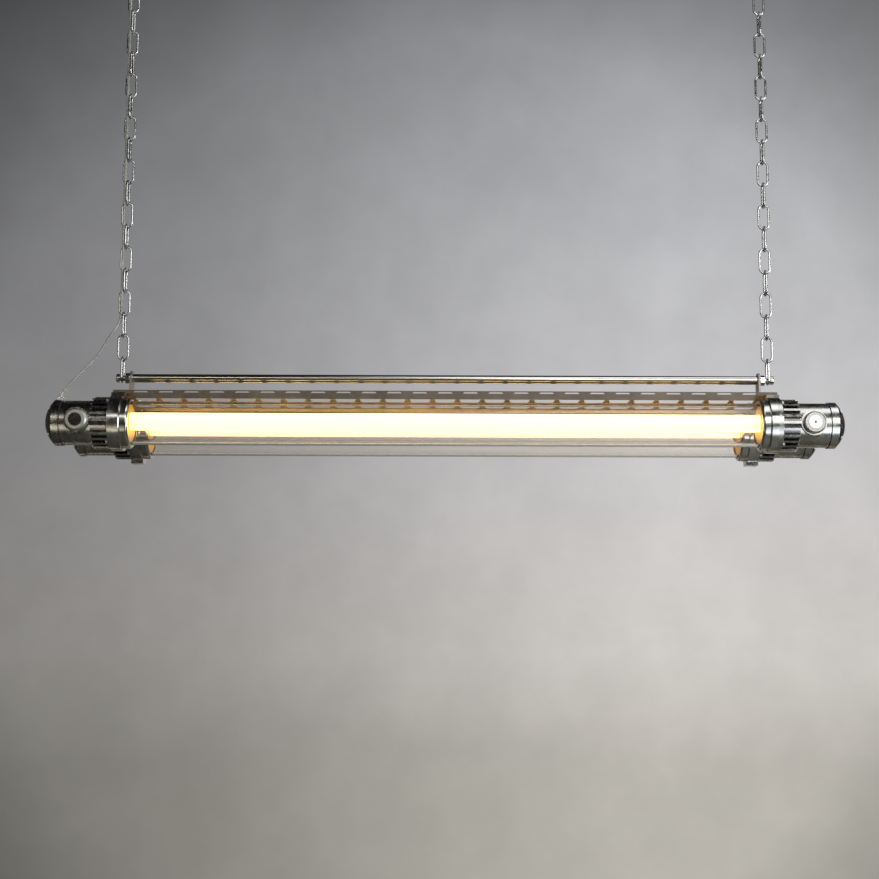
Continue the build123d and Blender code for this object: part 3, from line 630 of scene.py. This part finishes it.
@dataclass
class Carrier:
    """Folded tray, its posts, the rod with its fittings, and the chains up to the ceiling cups."""

    # Painted light: the tray's warm amber colour stands in for the lamps' warm light from below; its own steel
    # is a dark warm grey, kept on the lips.
    tray: MetalFinish = MetalFinish(
        "dark_steel", (0.23, 0.155, 0.072), (0.43, 0.295, 0.137), (0.38, 0.55), 140.0, metallic=0.4,
        patches=(TRAY_LIPS_WITHOUT_PAINTED_GLOW,),
    )
    strap: MetalFinish = MetalFinish(
        "strap_steel", (0.2, 0.18, 0.15), (0.36, 0.33, 0.28), (0.32, 0.48), 140.0, metallic=0.6
    )
    rod: MetalFinish = MetalFinish(
        "polished_nickel", (0.52, 0.5, 0.47), (0.76, 0.74, 0.7), (0.1, 0.22), 90.0, (0.06, 1.0, 1.0), 0.06
    )
    chain: MetalFinish = MetalFinish(
        "bright_chain", (0.42, 0.42, 0.41), (0.78, 0.78, 0.77), (0.16, 0.32), 160.0
    )
    cup: MetalFinish = MetalFinish(
        "satin_cup", (0.4, 0.39, 0.37), (0.55, 0.54, 0.51), (0.35, 0.5), 110.0, metallic=0.6
    )

    def dress(self, nodes: Dict[str, bpy.types.Object]) -> None:
        """Coats the carrier, the rod, the chains and the cups.

        Args:
            nodes: the frame's objects by name.
        """
        tray, rod, chain, cup = self.tray.make(), self.rod.make(), self.chain.make(), self.cup.make()
        coat(nodes["carrier_tray"], tray)
        strap = self.strap.make()
        for name in ("left_post", "right_post"):
            coat(nodes[name], strap)
        for name in ("spreader_tube", "tie_rod", "rod_nuts", "rod_washers", "rod_end_caps"):
            coat(nodes[name], rod)
        for end in ("left", "right"):
            for part in ("bottom_links", "chain_links", "top_link", "ceiling_eye"):
                coat(nodes[f"{end}_{part}"], chain)
            coat(nodes[f"{end}_ceiling_cup"], cup)
        coat(nodes["eye_nuts"], chain)


@dataclass(frozen=True)
class CordStretch:
    """One stretch of the cord, with its route, the two bodies it runs between and two points about one joint.
    """

    node: str
    route: Tuple[Point, ...]
    bodies: Tuple[str, str]
    bend: Tuple[Point, Point]


@dataclass
class SupplyCord:
    """Clear cord from the front left cover up beside the left chain, with its gland and grip."""

    radius: float = 0.0025
    resolution: int = 14
    axes_z: float = -0.9574
    rod_z: float = -0.860
    beside: Tuple[float, float] = (-0.616, -0.005)
    grip: Point = (-0.620, -0.012, -0.038)
    seat: Point = (-0.7015, -0.090, -0.9091)
    lean: Point = (0.36, 0.46, 0.81)
    boot: float = 0.020
    first_run: float = 0.030
    low_joint: float = 0.126
    chain_joint: float = 0.430
    top_joint: float = 0.776
    sheath: PlasticFinish = PlasticFinish(
        "clear_sheath", (0.4, 0.39, 0.36), (0.62, 0.6, 0.56), (0.12, 0.2), Sheath.MILKY, 40.0
    )
    fitting: PlasticFinish = PlasticFinish(
        "clear_fitting", (0.74, 0.72, 0.66), (0.9, 0.88, 0.82), (0.1, 0.2), Sheath.CLEAR
    )

    def up(self, height: float) -> Point:
        """A point beside the chain, at a height above the rod."""
        return (*self.beside, self.rod_z + height)

    def stretches(self) -> List[CordStretch]:
        """The four stretches from the gland upwards.

        Returns:
            Each stretch with its route, its bodies and where it bends.
        """
        lean, seat = Vector(self.lean).normalized(), Vector(self.seat)
        start, first = tuple(seat + lean * self.boot), tuple(seat + lean * self.first_run)
        slack = [
            (-0.684, -0.063, 0.086),
            (-0.666, -0.045, 0.112),
            (-0.650, -0.028, 0.137),
            (-0.642, -0.020, 0.158),
            (-0.632, -0.011, 0.179),
        ]
        low, middle, high = self.up(self.low_joint), self.up(self.chain_joint), self.up(self.top_joint)
        lower = [start, first, *[(x, y, self.axes_z + z) for x, y, z in slack], self.up(0.108), low]
        beside = [low, *[self.up(h) for h in (0.158, 0.280, 0.400)], middle]
        upper = [middle, *[self.up(h) for h in (0.460, 0.600, 0.744)], high]
        top = [high, self.up(0.790), (*self.grip[:2], -0.052), self.grip]
        return [
            CordStretch("cord_lower", tuple(lower), ("light", "left_bottom_links"), (start, low)),
            CordStretch("cord_chain", tuple(beside), ("left_bottom_links", "left_chain"), (low, self.up(0.19))),
            CordStretch("cord_upper", tuple(upper), ("left_chain", "left_top_link"), (self.up(0.715), high)),
            CordStretch("cord_top", tuple(top), ("left_top_link", "ceiling"), (high, self.grip)),
        ]

    def spline(self, stretch: CordStretch) -> bpy.types.Object:
        """A smooth curve with the route's points as its control points.

        Args:
            stretch: the stretch it follows.

        Returns:
            The curve object, with no thickness.
        """
        data = bpy.data.curves.new(stretch.node + "_line", "CURVE")
        data.dimensions = "3D"
        line = data.splines.new("NURBS")
        line.points.add(len(stretch.route) - 1)
        for point, place in zip(line.points, stretch.route):
            point.co = (*place, 1.0)
        line.order_u = 3
        line.use_endpoint_u = True
        line.resolution_u = self.resolution
        curve = bpy.data.objects.new(stretch.node + "_line", data)
        bpy.context.collection.objects.link(curve)
        return curve

    def tube(self, stretch: CordStretch) -> Tuple[bpy.types.Object, List[Point]]:
        """A mesh tube along the stretch.

        Args:
            stretch: the stretch it follows.

        Returns:
            The tube and the points of its centre line.
        """
        curve = self.spline(stretch)
        bpy.context.view_layer.update()
        graph = bpy.context.evaluated_depsgraph_get()
        thin = bpy.data.meshes.new_from_object(curve.evaluated_get(graph))
        path = [tuple(v.co) for v in thin.vertices]
        bpy.data.meshes.remove(thin)
        curve.data.bevel_depth = self.radius
        curve.data.bevel_resolution = 4
        curve.data.use_fill_caps = True
        bpy.context.view_layer.update()
        graph = bpy.context.evaluated_depsgraph_get()
        mesh = bpy.data.meshes.new_from_object(curve.evaluated_get(graph))
        bpy.data.objects.remove(curve)
        piece = bpy.data.objects.new(stretch.node + "_sheath", mesh)
        bpy.context.collection.objects.link(piece)
        for face in mesh.polygons:
            face.use_smooth = len(face.vertices) == 4
        return piece, path

    def build(self, nodes: Dict[str, bpy.types.Object]) -> None:
        """Makes the four stretches and coats the fittings.

        Args:
            nodes: the frame's objects by name.
        """
        sheath, fitting = self.sheath.make(), self.fitting.make()
        for stretch in self.stretches():
            piece, path = self.tube(stretch)
            coat(piece, sheath)
            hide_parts(stretch.node)
            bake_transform(piece)
        coat(nodes["cord_gland"], fitting)
        coat(nodes["cord_grip"], fitting)


@dataclass
class Studio:
    """Camera, paper backdrop, floor and soft lights."""

    lens: float = 57.34
    eye: Point = (-0.010, -2.62, -1.287)
    pitch: float = 6.8
    roll: float = 0.22
    aim: Point = (0.0, 0.0, -0.93)
    dome_r: float = 7.0
    dome_z: float = -1.0
    floor_size: float = 13.0
    floor_z: float = -3.3
    room: float = 0.05
    # The paper's ramps are painted studio light: falloff across and up, a warm and cool tint, and shade in the
    # corners.
    paper: PaperFinish = PaperFinish(
        "grey_paper_painted_light",
        across=((0.19, 0.42), (0.294, 0.25), (0.384, 0.32), (0.5, 0.52), (0.607, 0.66), (0.701, 0.62)),
        upward=((0.05, 0.78), (0.14, 0.8), (0.25, 1.0), (0.42, 1.0), (0.68, 0.85), (0.84, 0.66), (0.97, 0.47)),
        painted_tint=(
            (0.1, (1.0, 0.96, 0.86)),
            (0.32, (1.0, 0.96, 0.93)),
            (0.6, (0.96, 0.96, 0.99)),
            (0.95, (0.94, 0.96, 1.0)),
        ),
        half_width=7.0,
        foot=-3.1,
        head=2.92,
        middle=-0.6,
        corner=(3.0, 4.2, 5.4),
        painted_corner_shade=0.42,
        mirrored_from=5.4,
    )

    def camera(self) -> None:
        """Places the camera below the light, looking slightly up."""
        data = bpy.data.cameras.new("view")
        data.lens = self.lens
        data.sensor_width = 36.0
        data.dof.use_dof = False
        view = bpy.data.objects.new("view", data)
        bpy.context.collection.objects.link(view)
        tilt = Matrix.Rotation(math.radians(90 + self.pitch), 4, "X")
        turn = Matrix.Rotation(math.radians(self.roll), 4, "Z")
        view.matrix_world = Matrix.Translation(self.eye) @ tilt @ turn
        bpy.context.scene.camera = view

    def lamp(self, name: str, place: Point, size: Tuple[float, float], watts: float, colour: Colour) -> None:
        """Adds a soft rectangular light that faces the object.

        Args:
            name: its name.
            place: where it stands.
            size: its width and height.
            watts: its power.
            colour: its colour.
        """
        data = bpy.data.lights.new(name, "AREA")
        data.shape = "RECTANGLE"
        data.size, data.size_y = size
        data.energy = watts
        data.color = colour
        light = bpy.data.objects.new(name, data)
        light.visible_camera = False
        aim = Vector(self.aim) - Vector(place)
        light.matrix_world = Matrix.Translation(place) @ aim.to_track_quat("-Z", "Y").to_matrix().to_4x4()
        bpy.context.collection.objects.link(light)

    def surround(self) -> List[bpy.types.Object]:
        """A wide dome of paper all round and a floor inside it.

        Returns:
            The dome and the floor.
        """
        bpy.ops.object.select_all(action="DESELECT")
        bpy.ops.mesh.primitive_uv_sphere_add(
            segments=96, ring_count=48, radius=self.dome_r, location=(0.0, 0.0, self.dome_z)
        )
        dome = bpy.context.active_object
        dome.name = "backdrop"
        bpy.ops.object.shade_smooth()
        bpy.ops.object.transform_apply(location=True, rotation=True, scale=True)
        bpy.ops.object.select_all(action="DESELECT")
        bpy.ops.mesh.primitive_plane_add(size=self.floor_size, location=(0.0, 0.0, self.floor_z))
        floor = bpy.context.active_object
        floor.name = "floor"
        bpy.ops.object.transform_apply(location=True, rotation=True, scale=True)
        return [dome, floor]

    def build(self) -> None:
        """Sets up the whole studio."""
        self.camera()
        paper = self.paper.make()
        for sheet in self.surround():
            coat(sheet, paper)
        self.lamp("key", (0.9, -2.5, -0.3), (1.4, 1.0), 14.0, (1.0, 0.99, 0.97))
        self.lamp("front", (0.3, -2.5, 0.15), (4.4, 0.3), 13.0, (1.0, 1.0, 0.98))
        self.lamp("top", (0.8, -0.9, 0.9), (2.6, 0.8), 14.0, (0.96, 0.98, 1.0))
        self.lamp("fill", (-1.9, -2.2, -0.5), (0.6, 1.0), 4.0, (1.0, 0.92, 0.72))
        self.lamp("right", (2.4, -0.9, -0.9), (0.8, 1.2), 28.0, (0.88, 0.94, 1.0))
        self.lamp("right_low", (1.35, -1.8, -1.95), (0.7, 1.1), 9.0, (0.84, 0.93, 1.0))
        self.lamp("left_low", (-1.35, -1.8, -1.95), (0.5, 0.9), 3.0, (1.0, 0.93, 0.76))
        self.lamp("low", (0.0, 1.03, -1.95), (3.0, 0.1), 1.0, (1.0, 0.88, 0.62))
        world = bpy.data.worlds.new("room")
        world.use_nodes = True
        background = world.node_tree.nodes["Background"]
        background.inputs["Color"].default_value = (self.room, self.room, self.room, 1.0)
        background.inputs["Strength"].default_value = 1.0
        bpy.context.scene.world = world
        bpy.context.scene.view_settings.view_transform = "Standard"


def main() -> None:
    """Builds and dresses the light."""
    logging.basicConfig(level=logging.INFO, format="%(name)s: %(message)s")
    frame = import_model()
    nodes = frame["nodes"]
    Studio().build()
    CastEnds().dress(nodes)
    Glazing().dress(nodes)
    Carrier().dress(nodes)
    SupplyCord().build(nodes)
    LOG.info("sizes noted")


if __name__ == "__main__":
    main()
